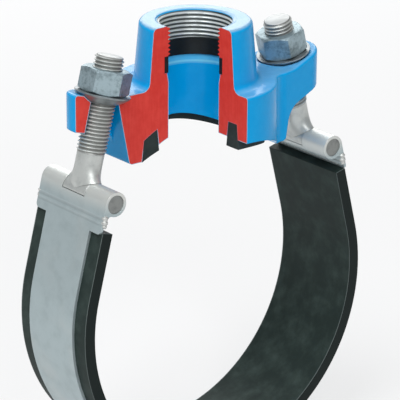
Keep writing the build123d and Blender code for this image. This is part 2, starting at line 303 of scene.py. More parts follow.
# ------------------------------------------------------------------ finishes
@dataclass(frozen=True)
class EpoxyCoat:
    """Glossy fusion-bonded coating over a sand casting."""

    name: str = "blue_epoxy_coat"
    colour: Colour = (0.0, 0.345, 0.745)
    pale: Colour = (0.008, 0.39, 0.80)
    # painted highlight on the eased ledge under the sealing ring
    wiped: Colour = (0.20, 0.62, 0.86)
    # painted light on faces that look up
    dusty: Colour = (0.42, 0.57, 0.66)
    ledge_z: tuple[float, float] = (122.9, 128.2)
    ledge_r: float = 21.9
    ledge_soft: tuple[float, float] = (0.6, 0.3)
    # height and half widths of the brightest line of that painted highlight
    worn_z: float = 124.6
    worn_w: tuple[float, float] = (0.9, 0.2)
    # heights over which the outlet's rim gets the most painted light
    rim_z: tuple[float, float] = (148.0, 151.0)
    wave_mm: float = 14.0
    patch_mm: float = 9.0
    lump_mm: float = 4.0
    peel_mm: float = 1.6
    gloss_mm: float = 5.0
    wave_depth: float = 0.5
    lump_depth: float = 0.45
    peel_depth: float = 0.2
    edge_mm: float = 0.7

    def material(self) -> bpy.types.Material:
        """Blue with the casting's slow waviness, fine orange peel and thinner coat in patches.

        The eased ledge under the sealing ring, found by its height and radius, carries a painted highlight,
        brightest in a narrow line at one height. Faces that look up are lumpy, and painted paler as painted
        light from above, the outlet's rim the most.

        Returns:
            The finished material.
        """
        graph = Graph(self.name)
        wave = graph.noise(self.wave_mm, 2.0)
        peel = graph.noise(self.peel_mm, 2.0)
        lumps = graph.noise(self.lump_mm, 3.0, 0.55)
        patch = graph.noise(self.patch_mm, 4.0, 0.6)
        gloss = graph.noise(self.gloss_mm, 3.0)
        x, y, z = graph.place()
        top = graph.facing()[2].step(0.5, 0.97)
        rim = z.step_mm(*self.rim_z)
        low, high = self.ledge_z
        wide, narrow = self.ledge_soft
        ledge = z.step_mm(low, low + wide) * z.step_mm(high + narrow, high)
        ledge = ledge * (x * x + y * y).step_radius(self.ledge_r + wide, self.ledge_r)
        # mask of the narrow line where the painted highlight is brightest
        worn = abs(z - self.worn_z * MM).step_mm(*self.worn_w)
        colour = graph.mix(self.colour, self.pale, patch.step(0.42, 0.75) * 0.5)
        # painted highlight: the ledge is painted paler, most of all in a narrow line at one height
        colour = graph.mix(colour, self.wiped, ledge * (0.2 + 0.4 * patch + 0.5 * worn))
        # painted light: faces that look up are painted paler, the outlet's rim the most
        colour = graph.mix(colour, self.dusty, top * (0.12 + 0.25 * patch + 0.45 * rim))
        normal = graph.bump(wave, self.wave_depth, 0.5, graph.soft_edges(self.edge_mm))
        normal = graph.bump(lumps * top, self.lump_depth, 0.5, normal)
        normal = graph.bump(peel, self.peel_depth, 0.35, normal)
        return graph.finish(
            Base_Color=colour,
            Roughness=0.14 + 0.12 * gloss,
            Specular_IOR_Level=0.1,
            Coat_Weight=0.03,
            Coat_Roughness=0.1,
            Normal=normal,
        )


@dataclass(frozen=True)
class SectionPaint:
    """Flat red paint on the machined section."""

    name: str = "red_section_paint"
    colour: Colour = (0.64, 0.034, 0.024)
    thin: Colour = (0.72, 0.058, 0.042)
    cloud_mm: float = 6.0
    streak_mm: float = 1.2

    def material(self) -> bpy.types.Material:
        """Red with faint upright brush marks and a little unevenness.

        Returns:
            The finished material.
        """
        graph = Graph(self.name)
        cloud = graph.noise(self.cloud_mm, 4.0, 0.65)
        streak = graph.stretched((1.0, 1.0, 0.12), self.streak_mm)
        colour = graph.mix(self.colour, self.thin, (cloud * 0.7 + streak * 0.4).step(0.35, 0.8))
        normal = graph.bump(streak, 0.06, 0.4)
        rough = 0.52 + 0.12 * cloud
        return graph.finish(Base_Color=colour, Roughness=rough, Specular_IOR_Level=0.3, Normal=normal)


@dataclass(frozen=True)
class CoatLine:
    """Broken edge of the coating round the section: a pale line that is partly the bare edge and partly a
    painted highlight.
    """

    name: str = "pale_coat_line"
    # pale blue line: partly the coat's broken edge, partly a painted highlight on the rounded edge
    colour: Colour = (0.36, 0.55, 0.72)
    chipped: Colour = (0.55, 0.42, 0.46)
    bare: Colour = SectionPaint.colour
    bare_r: tuple[float, float] = (24.0, 23.5)
    bare_z: float = 127.5
    groove_r: tuple[float, float] = (27.6, 37.6)
    groove_z: float = 104.2
    soft: float = 0.3
    chip_mm: float = 2.5

    def material(self) -> bpy.types.Material:
        """Pale blue, partly a painted highlight on the rounded edge, and uneven, but red where the machined
        outlet and the gasket's groove carry no coat.

        Returns:
            The finished material.
        """
        graph = Graph(self.name)
        uneven = graph.noise(self.chip_mm, 2.0)
        x, y, z = graph.place()
        across = x * x + y * y
        low, high = self.groove_r
        outlet = across.step_radius(*self.bare_r)
        outlet = outlet * z.step_mm(self.bare_z, self.bare_z + self.soft)
        groove = across.step_radius(low, low + self.soft) * across.step_radius(high + self.soft, high)
        groove = groove * z.step_mm(self.groove_z + self.soft, self.groove_z)
        # the pale line is partly a painted highlight on the rounded edge of the coat
        colour = graph.mix(self.colour, self.chipped, uneven.step(0.4, 0.7) * 0.6)
        colour = graph.mix(colour, self.bare, outlet.larger(groove * 0.8))
        return graph.finish(Base_Color=colour, Roughness=0.45 + 0.1 * uneven, Specular_IOR_Level=0.3)


@dataclass(frozen=True)
class SatinSteel:
    """Steel with a satin surface, mottled."""

    name: str
    colour: Colour
    dark: Colour
    rough: float
    metallic: float
    mottle_mm: float
    edge_mm: float
    grain_mm: float = 0.45
    grain_depth: float = 0.05

    def material(self) -> bpy.types.Material:
        """Mottled colour and roughness with a fine blasted grain.

        Returns:
            The finished material.
        """
        graph = Graph(self.name)
        mottle = graph.noise(self.mottle_mm, 5.0, 0.62)
        grain = graph.noise(self.grain_mm, 2.0)
        colour = graph.mix(self.colour, self.dark, mottle.step(0.45, 0.78) * 0.7)
        rough = self.rough + 0.16 * (mottle - 0.5) + 0.08 * grain
        normal = graph.bump(grain, self.grain_depth, 0.5, graph.soft_edges(self.edge_mm))
        return graph.finish(Base_Color=colour, Roughness=rough, Metallic=self.metallic, Normal=normal)


@dataclass(frozen=True)
class ZincPlate:
    """Bright zinc on the nuts, with darker handling marks."""

    name: str = "bright_zinc"
    colour: Colour = (0.37, 0.47, 0.51)
    dull: Colour = (0.11, 0.15, 0.16)
    mark_mm: float = 2.2
    cloud_mm: float = 9.0
    mark_depth: float = 0.06
    edge_mm: float = 0.4
    metallic: float = 0.76

    def material(self) -> bpy.types.Material:
        """Bluish bright metal with small dull marks and soft edges.

        Returns:
            The finished material.
        """
        graph = Graph(self.name)
        mark = graph.noise(self.mark_mm, 5.0, 0.7)
        cloud = graph.noise(self.cloud_mm, 3.0)
        colour = graph.mix(self.colour, self.dull, (mark * 0.6 + cloud * 0.5).step(0.47, 0.75) * 0.8)
        rough = 0.36 + 0.16 * mark
        normal = graph.bump(mark, self.mark_depth, 0.5, graph.soft_edges(self.edge_mm))
        return graph.finish(Base_Color=colour, Roughness=rough, Metallic=self.metallic, Normal=normal)


@dataclass(frozen=True)
class CutThread:
    """Freshly cut thread in the outlet's mouth."""

    name: str = "cut_thread_steel"
    crest: Colour = (0.84, 0.89, 0.88)
    marked: Colour = (0.5, 0.52, 0.53)
    # painted shade in the thread's roots
    root: Colour = (0.035, 0.05, 0.05)
    crest_r: float = 20.0
    root_r: float = 20.6
    metallic: float = 0.62

    def material(self) -> bpy.types.Material:
        """Bright on the crests and darkened in the roots by painted shade, with fine tool marks round the
        axis.

        Returns:
            The finished material.
        """
        graph = Graph(self.name)
        marks = graph.stretched((0.1, 0.1, 4.0), 1.0)
        x, y, _ = graph.place()
        # mask of the thread's roots, where shade is painted
        deep = (x * x + y * y).step_radius(self.crest_r, self.root_r)
        colour = graph.mix(self.crest, self.marked, marks.step(0.4, 0.75) * 0.6)
        # painted shade: the thread's roots are darkened
        colour = graph.mix(colour, self.root, deep * 0.88)
        return graph.finish(Base_Color=colour, Roughness=0.36 + 0.14 * marks, Metallic=self.metallic)


@dataclass(frozen=True)
class StudSteel:
    """Stainless stud: matt pale shank and foot, with painted shade in the thread's roots."""

    axes: "BoltAxes"
    name: str
    colour: Colour = (0.58, 0.60, 0.58)
    dull: Colour = (0.42, 0.44, 0.43)
    # painted shade in the thread's roots
    root: Colour = (0.16, 0.16, 0.15)
    sawn: Colour = (0.60, 0.62, 0.61)
    end: float = 73.0
    root_r: float = 7.0
    crest_r: float = 7.75
    thread_from: float = 20.6
    mottle_mm: float = 5.0
    grain_mm: float = 0.45
    grain_depth: float = 0.05
    edge_mm: float = 0.2

    def material(self) -> bpy.types.Material:
        """Mottled steel, pale on its sawn end, with painted shade in the thread's roots. How far into the
        thread a point lies is its distance from the axis.

        Returns:
            The finished material.
        """
        graph = Graph(self.name)
        x, y, z = graph.place()
        out, up = self.axes.outward(x, z), self.axes.height(x, z)
        # mask of the thread's roots, where shade is painted
        deep = (out * out + y * y).step_radius(self.crest_r, self.root_r)
        deep = deep * up.step_mm(self.thread_from - 0.5, self.thread_from + 0.5)
        end = up.step_mm(self.end - 0.25, self.end - 0.1)
        mottle = graph.noise(self.mottle_mm, 5.0, 0.62)
        grain = graph.noise(self.grain_mm, 2.0)
        colour = graph.mix(self.colour, self.dull, mottle.step(0.42, 0.75) * 0.8)
        # painted shade: the thread's roots are darkened
        colour = graph.mix(colour, self.root, deep * 0.75)
        colour = graph.mix(colour, self.sawn, end * (0.7 + 0.4 * mottle))
        rough = 0.38 + 0.16 * (mottle - 0.5) + 0.08 * grain
        normal = graph.bump(grain, self.grain_depth, 0.5, graph.soft_edges(self.edge_mm))
        return graph.finish(Base_Color=colour, Roughness=rough, Metallic=0.58 - 0.45 * end, Normal=normal)


@dataclass(frozen=True)
class PickledSheet:
    """Pickled stainless sheet of the strap."""

    axes: "BoltAxes"
    name: str = "pickled_sheet"
    colour: Colour = (0.43, 0.51, 0.525)
    dark: Colour = (0.35, 0.42, 0.435)
    cloudy: Colour = (0.56, 0.57, 0.55)
    # painted shade in the creases under each eye
    creased: Colour = (0.34, 0.38, 0.39)
    # painted light on the strap's two heads, from above
    head: Colour = (0.74, 0.74, 0.70)
    creases_up: tuple[float, float] = (-8.2, -11.2)
    crease_depth: float = 0.35
    # heights over the pin across which the painted light on the heads rises
    head_up: tuple[float, float] = (-7.0, 4.0)
    mottle_mm: float = 9.0
    cloud_mm: float = 30.0
    grain_mm: float = 0.5
    grain_depth: float = 0.04
    edge_mm: float = 0.35
    metallic: float = 0.55

    def material(self) -> bpy.types.Material:
        """Clouded sheet, painted paler at its two heads as painted light from above, with two shallow creases
        under each eye that are painted darker as painted shade.

        A crease is found by its height over the pin along the leaning end of the strap, the same on both
        sides.

        Returns:
            The finished material.
        """
        graph = Graph(self.name)
        x, _, z = graph.place()
        up = self.axes.height(abs(x), z)
        mottle = graph.noise(self.mottle_mm, 5.0, 0.6)
        cloud = graph.noise(self.cloud_mm, 3.0, 0.5)
        grain = graph.noise(self.grain_mm, 2.0)
        upper, lower = (abs(up - place * MM) for place in self.creases_up)
        crease = upper.step_mm(1.3, 0.2) + lower.step_mm(1.0, 0.2) * 0.7
        colour = graph.mix(self.colour, self.dark, mottle.step(0.4, 0.8) * 0.7)
        colour = graph.mix(colour, self.cloudy, cloud.step(0.45, 0.8) * 0.5)
        # painted shade: the creases are darkened
        colour = graph.mix(colour, self.creased, crease * 0.35)
        # painted light: the heads are painted paler
        colour = graph.mix(colour, self.head, up.step_mm(*self.head_up) * (0.6 + 0.4 * mottle))
        rough = 0.44 + 0.14 * (mottle - 0.5) + 0.05 * grain
        normal = graph.bump(1 - crease, self.crease_depth, 0.5, graph.soft_edges(self.edge_mm))
        normal = graph.bump(grain, self.grain_depth, 0.5, normal)
        return graph.finish(Base_Color=colour, Roughness=rough, Metallic=self.metallic, Normal=normal)


@dataclass(frozen=True)
class Rubber:
    """Moulded black rubber."""

    name: str
    colour: Colour
    bloom: Colour
    rough: float
    edge_mm: float
    corner_y_mm: float = 0.0
    # painted highlight along the corners beside the cut sides
    corner_colour: Colour = (0.13, 0.16, 0.155)
    # painted shadow on the cut sides
    cut_colour: Colour = (0.008, 0.014, 0.013)
    bloom_mm: float = 11.0
    grain_mm: float = 0.7
    grain_depth: float = 0.05
    corner_w: tuple[float, float] = (0.7, 0.25)

    def material(self) -> bpy.types.Material:
        """Black with a faint grey bloom.

        With corner_y_mm the two cut sides are painted darker as painted shadow, and the corners beside them
        carry a pale painted highlight.

        Returns:
            The finished material.
        """
        graph = Graph(self.name)
        bloom = graph.noise(self.bloom_mm, 4.0, 0.6)
        grain = graph.noise(self.grain_mm, 2.0)
        colour = graph.mix(self.colour, self.bloom, bloom.step(0.35, 0.9))
        if self.corner_y_mm:
            wide, narrow = self.corner_w
            corner = abs(graph.place()[1]).step_mm(self.corner_y_mm - wide, self.corner_y_mm - narrow)
            side = abs(graph.facing()[1]).step(0.85, 0.99)
            # painted shadow: the cut sides are darkened
            colour = graph.mix(colour, self.cut_colour, side)
            # painted highlight: the corners run pale
            colour = graph.mix(colour, self.corner_colour, corner * (1 - side))
        rough = self.rough + 0.14 * bloom
        normal = graph.bump(grain, self.grain_depth, 0.6, graph.soft_edges(self.edge_mm))
        return graph.finish(Base_Color=colour, Roughness=rough, Specular_IOR_Level=0.16, Normal=normal)


@dataclass(frozen=True)
class StudioWhite:
    """Pale floor that keeps the object's soft shadow."""

    name: str = "studio_floor"
    colour: Colour = (0.80, 0.80, 0.80)
    other: Colour = (0.83, 0.83, 0.84)
    tone_mm: float = 900.0
    camera_lift: float = 0.62

    def material(self) -> bpy.types.Material:
        """Matt pale floor, lifted a little towards white for the eye, not for the light it throws.

        Returns:
            The finished material.
        """
        graph = Graph(self.name)
        colour = graph.mix(self.colour, self.other, graph.noise(self.tone_mm, 2.0))
        path = graph.node("ShaderNodeLightPath", {}, {})
        camera, glossy, through = (
            Value(graph, path.outputs[f"Is {kind} Ray"]) for kind in ("Camera", "Glossy", "Transmission")
        )
        seen = camera.larger(glossy).larger(through)
        matt = graph.node("ShaderNodeBsdfDiffuse", {}, {"Color": colour})
        glow = graph.node("ShaderNodeEmission", {}, {"Color": (1.0, 1.0, 1.0, 1.0), "Strength": 1.0})
        shares = {0: seen * self.camera_lift, 1: matt.outputs[0], 2: glow.outputs[0]}
        mixed = graph.node("ShaderNodeMixShader", {}, shares)
        graph.node("ShaderNodeOutputMaterial", {}, {"Surface": mixed.outputs[0]})
        return graph.material


# ------------------------------------------------------------------ meshes
@dataclass
class Shell:
    """A mesh in the making: points in metres and faces of any size."""

    points: np.ndarray
    faces: list
    paints: Optional[np.ndarray] = None

    def outward(self) -> "Shell":
        """Turn every face over if the faces enclose a negative volume.

        The volume is a sixth of the sum, over all triangles, of one corner's product with the cross
        product of the other two.

        Returns:
            The same shell.
        """
        fans = [(face[0], one, other) for face in self.faces for one, other in zip(face[1:-1], face[2:])]
        a, b, c = (self.points[list(corner)] for corner in zip(*fans))
        if np.einsum("ij,ij->", a, np.cross(b, c)) < 0:
            self.faces = [list(face)[::-1] for face in self.faces]
        return self

    def piece(
        self, name: str, materials: Sequence[bpy.types.Material], crease_deg: float = 35.0
    ) -> bpy.types.Object:
        """Make the object.

        Args:
            name: the piece's name.
            materials: its materials, in the order that paints counts them.
            crease_deg: faces that meet at more than this angle keep a sharp edge.

        Returns:
            The object, at the origin, smooth shaded.
        """
        mesh = bpy.data.meshes.new(name)
        mesh.from_pydata(self.points.tolist(), [], [list(map(int, face)) for face in self.faces])
        for material in materials:
            mesh.materials.append(material)
        if self.paints is not None:
            mesh.polygons.foreach_set("material_index", self.paints.astype(np.int32))
        mesh.update()
        mesh.shade_smooth()
        mesh.set_sharp_from_angle(angle=math.radians(crease_deg))
        piece = bpy.data.objects.new(name, mesh)
        bpy.context.scene.collection.objects.link(piece)
        return piece


def wrapped_grid(rows: int, columns: int) -> list:
    """Join the points of a grid whose last column meets its first.

    Args:
        rows: points from the lower end to the upper.
        columns: points once round, anticlockwise.

    Returns:
        The quads, with their corners counted row by row.
    """
    index = np.arange(rows * columns).reshape(rows, columns)
    after = np.roll(index, -1, axis=1)
    return np.stack([index[:-1], after[:-1], after[1:], index[1:]], axis=-1).reshape(-1, 4).tolist()


def closed_turning(grid: np.ndarray) -> Shell:
    """Close a grid of points that goes round an axis with a fan at each end.

    Args:
        grid: points as (rows, columns, 3).

    Returns:
        The shell; each fan's middle is the mean of its row.
    """
    rows, columns, _ = grid.shape
    points = np.vstack([grid.reshape(-1, 3), grid[0].mean(axis=0), grid[-1].mean(axis=0)])
    here = np.arange(columns)
    after = np.roll(here, -1)
    low, last = np.full(columns, rows * columns), (rows - 1) * columns
    fans = [(low, after, here), (low + 1, last + here, last + after)]
    faces = np.vstack([np.stack(fan, axis=1) for fan in fans]).tolist()
    return Shell(points, wrapped_grid(rows, columns) + faces)


def plate_between(front: np.ndarray, back: np.ndarray) -> Shell:
    """Make a closed plate between two grids of points.

    Args:
        front: points as (rows, columns, 3).
        back: as many points behind them.

    Returns:
        The shell, in which the walls at the first and last column are painted 1 and the rest 0.
    """
    rows, columns, _ = front.shape
    index = np.arange(rows * columns).reshape(rows, columns)
    quads = np.stack([index[:-1, :-1], index[:-1, 1:], index[1:, 1:], index[1:, :-1]], axis=-1).reshape(-1, 4)
    faces = [quads, quads[:, ::-1] + index.size]
    paints = [np.zeros(2 * len(quads), int)]
    for rim, paint in ((index[0], 0), (index[:, -1], 1), (index[-1, ::-1], 0), (index[::-1, 0], 1)):
        here, there = rim[:-1], rim[1:]
        faces.append(np.stack([there, here, here + index.size, there + index.size], axis=1))
        paints.append(np.full(len(here), paint))
    points = np.vstack([front.reshape(-1, 3), back.reshape(-1, 3)])
    return Shell(points, np.vstack(faces).tolist(), np.concatenate(paints)).outward()


def smooth_step(x: np.ndarray) -> np.ndarray:
    """0 below 0, 1 above 1 and a smooth rise between them: 3 x squared less 2 x cubed."""
    x = np.clip(x, 0.0, 1.0)
    return x * x * (3.0 - 2.0 * x)


def thread_cut(phase: np.ndarray, crest: float, root: float) -> np.ndarray:
    """Work out how deep a V thread is: its distance from the crest, cut off flat at both ends.

    Args:
        phase: place along the thread in turns; whole numbers are on the crest.
        crest: share of half a pitch that is flat at the crest.
        root: share that is flat at the root.

    Returns:
        Depth from 0 on the crest to 1 at the root, straight between them.
    """
    away = 2.0 * np.abs(phase - np.round(phase))
    return np.clip((away - crest) / (1.0 - crest - root), 0.0, 1.0)


def merged_copy(node: str) -> Shell:
    """Copy a CAD node, with its loose triangles joined where their corners meet.

    Args:
        node: the node's name.

    Returns:
        The copy, without the triangles that have two corners in one place.
    """
    mesh = frame["nodes"][node].data
    points = np.empty(len(mesh.vertices) * 3, np.float32)
    mesh.vertices.foreach_get("co", points)
    points = points.reshape(-1, 3).astype(float)
    corners = np.empty(len(mesh.loops), np.int32)
    mesh.loops.foreach_get("vertex_index", corners)
    _, first, inverse = np.unique(np.round(points, 7), axis=0, return_index=True, return_inverse=True)
    triangles = inverse.reshape(-1)[corners].reshape(-1, 3)
    distinct = (
        (triangles[:, 0] != triangles[:, 1])
        & (triangles[:, 1] != triangles[:, 2])
        & (triangles[:, 2] != triangles[:, 0])
    )
    return Shell(points[first], triangles[distinct].tolist())


def weigh_normals(piece: bpy.types.Object) -> None:
    """Let large flat faces rule the shading of the rounds beside them.

    Args:
        piece: the piece that is shaded so.
    """
    modifier = piece.modifiers.new("weighted_normals", "WEIGHTED_NORMAL")
    modifier.keep_sharp = True
    modifier.weight = 80


def stand_for(piece: bpy.types.Object, node: str, body: str) -> None:
    """Put a piece in the place of a CAD node.

    Args:
        piece: the piece.
        node: the node that it stands for.
        body: the body that it rides on.
    """
    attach(piece, body)
    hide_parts(node)
    LOG.info("%s stands for %s: %d faces", piece.name, node, len(piece.data.polygons))


def add_to(piece: bpy.types.Object, body: str) -> None:
    """Put a piece beside the CAD nodes.

    Args:
        piece: the piece.
        body: the body that it rides on.
    """
    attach(piece, body)
    LOG.info("%s rides on %s: %d faces", piece.name, body, len(piece.data.polygons))


def dressed_copy(node: str, name: str, material: bpy.types.Material, body: str) -> None:
    """Put a merged copy in the place of a CAD node.

    Args:
        node: the node's name.
        name: the piece's name.
        material: the piece's only material.
        body: the body that it rides on.
    """
    piece = merged_copy(node).piece(name, [material])
    weigh_normals(piece)
    stand_for(piece, node, body)


@dataclass(frozen=True)
class BoltAxes:
    """Axes of one T-bolt: its pin's centre, and unit vectors outward, along the pin and up the stud."""

    pin: np.ndarray
    out: np.ndarray
    along: np.ndarray
    up: np.ndarray

    @classmethod
    def read(cls, hand: Hand) -> "BoltAxes":
        """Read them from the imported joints.

        Args:
            hand: which bolt.

        Returns:
            The pin's centre is the swing's, and up is the way that the washer travels.
        """
        joints = {joint["name"]: joint for joint in frame["joints"]}
        pin = np.array(joints[hand.word + "_bolt_swing"]["pos_m"], float)
        up = np.array(joints[hand.word + "_washer_travel"]["axis"], float)
        up /= np.linalg.norm(up)
        out = np.array([hand.value * up[2], 0.0, abs(up[0])])
        return cls(pin, out, np.cross(up, out), up)

    def to_frame(self, local: np.ndarray) -> np.ndarray:
        """Carry points from the bolt's axes to the frame of the CAD.

        Args:
            local: (outward, along, up) in millimetres from the pin, last in any array.

        Returns:
            The pin's centre plus each share times its unit vector, in metres.
        """
        return self.pin + MM * (
            local[..., :1] * self.out + local[..., 1:2] * self.along + local[..., 2:3] * self.up
        )

    def outward(self, x: Value, z: Value) -> Value:
        """Distance outward from the stud's axis, in metres, of a surface point's X and Z."""
        return (x - float(self.pin[0])) * float(self.out[0]) + (z - float(self.pin[2])) * float(self.out[2])

    def height(self, x: Value, z: Value) -> Value:
        """Height over the pin along the stud, in metres, of a surface point's X and Z."""
        return (x - float(self.pin[0])) * float(self.up[0]) + (z - float(self.pin[2])) * float(self.up[2])


# ------------------------------------------------------------------ saddle
@dataclass
class SaddleCasting:
    """Coated casting with its red section faces, and round them a pale line: the broken edge of its coat and
    a painted highlight.
    """

    coat: EpoxyCoat = EpoxyCoat()
    paint: SectionPaint = SectionPaint()
    line: CoatLine = CoatLine()
    line_w: float = 0.3
    crease_deg: float = 32.0
    squareness: float = 0.9999
    plane_gap: float = 0.002
    body: str = "saddle"

    def build(self) -> None:
        """Copy the casting, paint its section faces and run a thin line round each.

        The section faces are the flat ones that face -X or -Y on the two cutting planes. Each becomes one
        outline, and a band of width line_w just inside it takes the coat edge's pale colour, partly a painted
        highlight.
        """
        materials = [self.coat.material(), self.paint.material(), self.line.material()]
        piece = merged_copy("saddle_body").piece("saddle_casting", materials, self.crease_deg)
        mesh = bmesh.new()
        mesh.from_mesh(piece.data)
        mesh.normal_update()
        for axis in (0, 1):
            towards = Vector([-1.0 if k == axis else 0.0 for k in range(3)])
            facing = [f for f in mesh.faces if f.normal.dot(towards) > self.squareness]
            place = self.cutting_plane(facing, axis)
            near = self.plane_gap * MM
            section = [f for f in facing if abs(f.calc_center_median()[axis] - place) < near]
            outline = bmesh.ops.dissolve_faces(mesh, faces=section, use_verts=False)["region"]
            for face in outline:
                face.material_index = 1
            band = bmesh.ops.inset_region(
                mesh, faces=outline, thickness=self.line_w * MM, use_even_offset=True, use_boundary=True
            )["faces"]
            for face in band:
                face.material_index = 2
            LOG.info("section across axis %d at %.2f mm: %d outlines", axis, place / MM, len(outline))
        mesh.to_mesh(piece.data)
        mesh.free()
        piece.data.set_sharp_from_angle(angle=math.radians(self.crease_deg))
        weigh_normals(piece)
        stand_for(piece, "saddle_body", self.body)

    @staticmethod
    def cutting_plane(faces: Sequence[bmesh.types.BMFace], axis: int) -> float:
        """Find the plane that most of the faces lie on.

        Args:
            faces: faces that look along an axis.
            axis: 0 for X, 1 for Y.

        Returns:
            The coordinate at which they have the most area, to a thousandth of a millimetre.
        """
        areas: dict[float, float] = {}
        for face in faces:
            key = round(face.calc_center_median()[axis], 6)
            areas[key] = areas.get(key, 0.0) + face.calc_area()
        return max(areas, key=areas.get)


@dataclass
class OutletThread:
    """Parallel pipe thread in the outlet's mouth, cut by the two section planes."""

    major_r: float = 20.955
    depth: float = 1.479
    pitch: float = 2.309
    length: float = 16.6
    flat: float = 0.15
    lead_in: float = 1.0
    run_out: float = 0.6
    root_lift: float = 0.10
    wall: float = 0.35
    cut_x: float = -0.5
    cut_y: float = -2.5
    proud: float = 0.012
    below_top: float = 0.01
    steps_per_pitch: int = 14
    columns: int = 150
    rounds: int = 6
    crease_deg: float = 50.0
    body: str = "saddle"

    def crest_depth(self, z: np.ndarray) -> np.ndarray:
        """Share of the full form at a height: it fades at the mouth and in the run-out at the foot."""
        below_mouth = (self.length - z) / self.lead_in
        return np.clip(below_mouth, 0.0, 1.0) * smooth_step(z / (self.run_out * self.pitch))

    def radius(self, angle: np.ndarray, z: np.ndarray) -> np.ndarray:
        """Work out the inner radius.

        The root stands root_lift inside the bore. From it the form comes in by depth, less the V cut of a
        right-hand helix, whose phase is z over the pitch less the angle in turns. The mouth opens at 45
        degrees.

        Args:
            angle: angles about the outlet.
            z: heights over the thread's foot.

        Returns:
            The radii.
        """
        phase = z / self.pitch - angle / TURN
        form = (self.depth - self.root_lift) * (1.0 - thread_cut(phase, self.flat, self.flat))
        mouth = np.clip(z - self.length + self.lead_in, 0.0, None)
        return self.major_r - self.root_lift - form * self.crest_depth(z) + mouth

    def ends(self, radius: np.ndarray) -> tuple[np.ndarray, np.ndarray]:
        """Find where the thread meets the section: the arc sine of a plane's distance over the radius.

        Args:
            radius: radii of circles about the outlet.

        Returns:
            The angles at which each circle enters and leaves the whole part of the casting.
        """
        start = -0.25 * TURN - np.arcsin((-self.cut_x + self.proud) / radius)
        end = 0.5 * TURN + np.arcsin((-self.cut_y + self.proud) / radius)
        return start, end

    def inner(self, share: np.ndarray, z: np.ndarray, foot_m: float) -> np.ndarray:
        """Place the inner face. Its ends' angles depend on the radius, so they are found in rounds.

        Args:
            share: shares of the way from the first section to the second.
            z: heights over the thread's foot.
            foot_m: height of that foot.

        Returns:
            The points, in metres.
        """
        angle = -0.25 * TURN + share * 0.75 * TURN
        for _ in range(self.rounds):
            start, end = self.ends(self.radius(angle, z))
            angle = start + share * (end - start)
        return self.ring_point(self.radius(angle, z), angle, z, foot_m)

    def outer(self, share: np.ndarray, z: np.ndarray, foot_m: float) -> np.ndarray:
        """Place the back of the thread, a wall's thickness behind the major radius.

        Args:
            share: shares of the way from the first section to the second.
            z: heights over the thread's foot.
            foot_m: height of that foot.

        Returns:
            The points, in metres.
        """
        r = np.full_like(z, self.major_r + self.wall) + np.clip(z - self.length + self.lead_in, 0.0, None)
        start, end = self.ends(r)
        return self.ring_point(r, start + share * (end - start), z, foot_m)

    @staticmethod
    def ring_point(r: np.ndarray, angle: np.ndarray, z: np.ndarray, foot_m: float) -> np.ndarray:
        """Cylinder coordinates in millimetres to a point in metres."""
        return np.stack([r * np.cos(angle) * MM, r * np.sin(angle) * MM, foot_m + z * MM], axis=-1)

    def build(self) -> None:
        """Make the thread as one closed band: inner face, top, back, bottom and the two red ends."""
        top_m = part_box("saddle_body")[1].z
        foot_m = top_m - self.length * MM
        rows = int(round(self.length / self.pitch * self.steps_per_pitch)) + 1
        heights = np.linspace(0.0, self.length - self.below_top, rows)
        z, share = np.meshgrid(heights, np.linspace(0.0, 1.0, self.columns), indexing="ij")
        shell = plate_between(self.inner(share, z, foot_m), self.outer(share, z, foot_m))
        middle = shell.points[np.array(shell.faces), 2].mean(axis=1)
        shell.paints[(shell.paints == 0) & (middle > top_m - self.lead_in * MM)] = 2
        finishes = (CutThread(), SectionPaint("red_thread_paint"), EpoxyCoat("blue_mouth_coat"))
        materials = [finish.material() for finish in finishes]
        add_to(shell.piece("outlet_thread", materials, self.crease_deg), self.body)


@dataclass
class Seals:
    """Sealing ring below the thread and the gasket under the saddle."""

    ring: Rubber = Rubber(
        "ring_rubber", (0.010, 0.013, 0.015), (0.020, 0.026, 0.030), rough=0.26, edge_mm=0.4
    )
    gasket: Rubber = Rubber(
        "gasket_rubber", (0.018, 0.028, 0.028), (0.040, 0.056, 0.056), rough=0.50, edge_mm=0.4
    )
    body: str = "saddle"

    def build(self) -> None:
        """Copy both rubber parts and finish them."""
        dressed_copy("outlet_seal_ring", "sealing_ring", self.ring.material(), self.body)
        dressed_copy("saddle_gasket", "pipe_gasket", self.gasket.material(), self.body)


